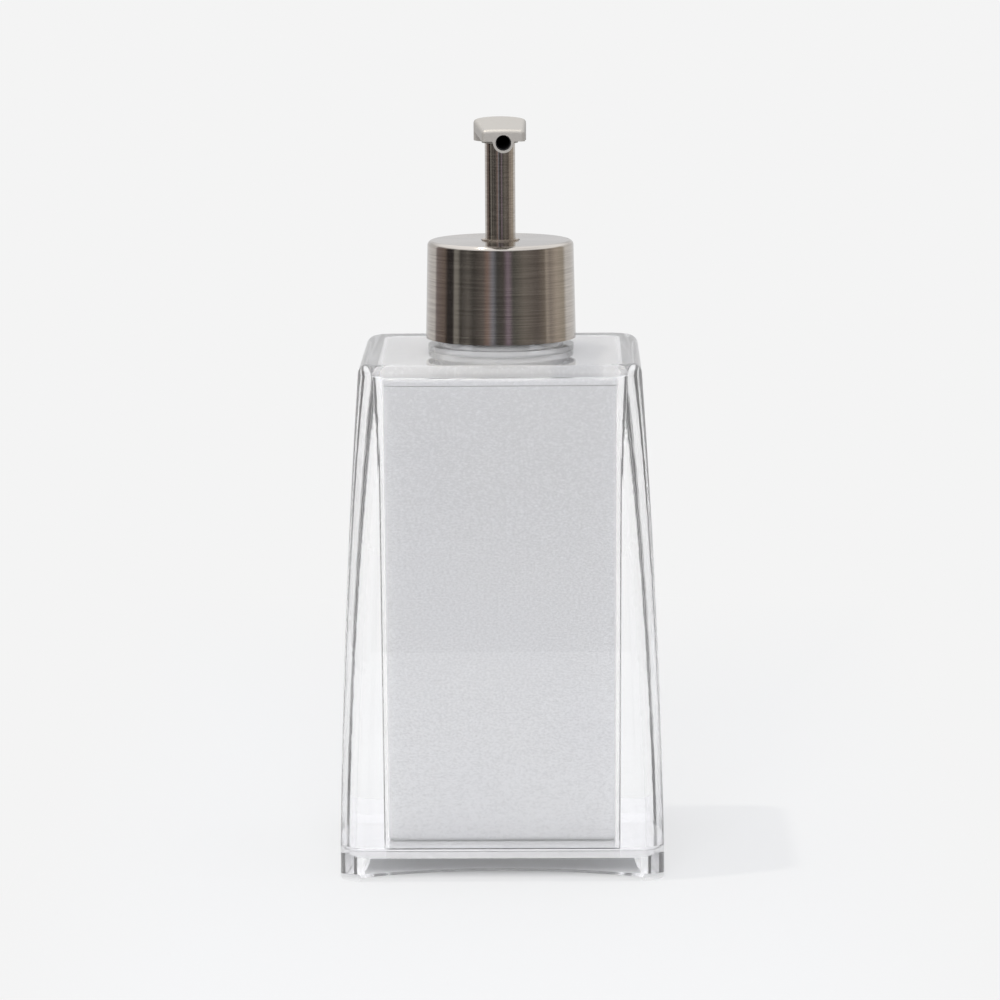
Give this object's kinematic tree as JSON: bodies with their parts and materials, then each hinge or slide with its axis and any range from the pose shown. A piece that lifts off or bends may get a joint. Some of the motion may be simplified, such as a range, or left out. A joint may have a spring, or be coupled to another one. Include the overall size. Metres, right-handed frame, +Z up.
{
  "type": "soap pump dispenser",
  "caption": "Tapered square clear block with a silver inner liner, a brushed metal screw collar and a sprung push pump with a flat swivelling spout.",
  "frame": {"origin": "centre of the underside, on the surface that it stands on", "axes": "+Z up along the pump's axis, spout towards -Y"},
  "size_m": [0.076, 0.076, 0.1757],
  "materials": {
    "clear_acrylic": "clear, polished",
    "silver_liner": "fine silver paint",
    "brushed_nickel": "brushed round the axis",
    "plated_plastic": "nickel plated",
    "satin_nickel": "satin",
    "stainless": "bright drawn",
    "white_plastic": "natural moulded",
    "piston_plastic": "soft, natural",
    "tube_plastic": "translucent natural",
    "dark_plastic": "black moulded",
    "gasket": "smooth"
  },
  "bodies": {
    "bottle": {"outer_shell": "clear_acrylic", "base_plate": "clear_acrylic", "liner_box": "silver_liner", "liner_lid": "silver_liner", "threaded_neck": "clear_acrylic"},
    "pump": {"pump_housing": "white_plastic", "neck_gasket": "gasket", "chaplet": "plated_plastic", "ball_retainer": "white_plastic", "return_spring": "stainless", "dip_tube": "tube_plastic"},
    "inlet_valve": {"inlet_ball": "stainless"},
    "collar": {"collar_shell": "brushed_nickel", "closure_cap": "white_plastic"},
    "carrier": {"spring_follower": "white_plastic"},
    "piston": {"piston_seal": "piston_plastic"},
    "head": {"head_casting": "satin_nickel", "stem_sleeve": "brushed_nickel", "inner_stem": "white_plastic", "valve_plug": "white_plastic", "spout_tube": "dark_plastic"}
  },
  "joints": [
    {"name": "pump_lift", "type": "slide", "parent": "bottle", "child": "pump", "axis": [0, 0, 1], "range_m": [0, 0.00634]},
    {"name": "collar_turn", "type": "hinge", "parent": "pump", "child": "collar", "pos_m": [0, 0, 0.135], "axis": [0, 0, 1], "range_deg": [0, 541]},
    {"name": "head_press", "type": "slide", "parent": "pump", "child": "carrier", "axis": [0, 0, -1], "range_m": [0, 0.016], "stiffness_N_per_m": 600, "springref_m": -0.013, "deforming": ["return_spring"]},
    {"name": "head_turn", "type": "hinge", "parent": "carrier", "child": "head", "pos_m": [0, 0, 0.15], "axis": [0, 0, 1], "continuous": true},
    {"name": "piston_lag", "type": "slide", "parent": "carrier", "child": "piston", "axis": [0, 0, 1], "range_m": [0, 0.0008]},
    {"name": "inlet_ball_lift", "type": "slide", "parent": "pump", "child": "inlet_valve", "axis": [0, 0, 1], "range_m": [0, 0.0014]}
  ],
  "couplings": [
    {"joint": "collar_turn", "follows": "pump_lift", "rad_per_m": 1485.4}
  ]
}
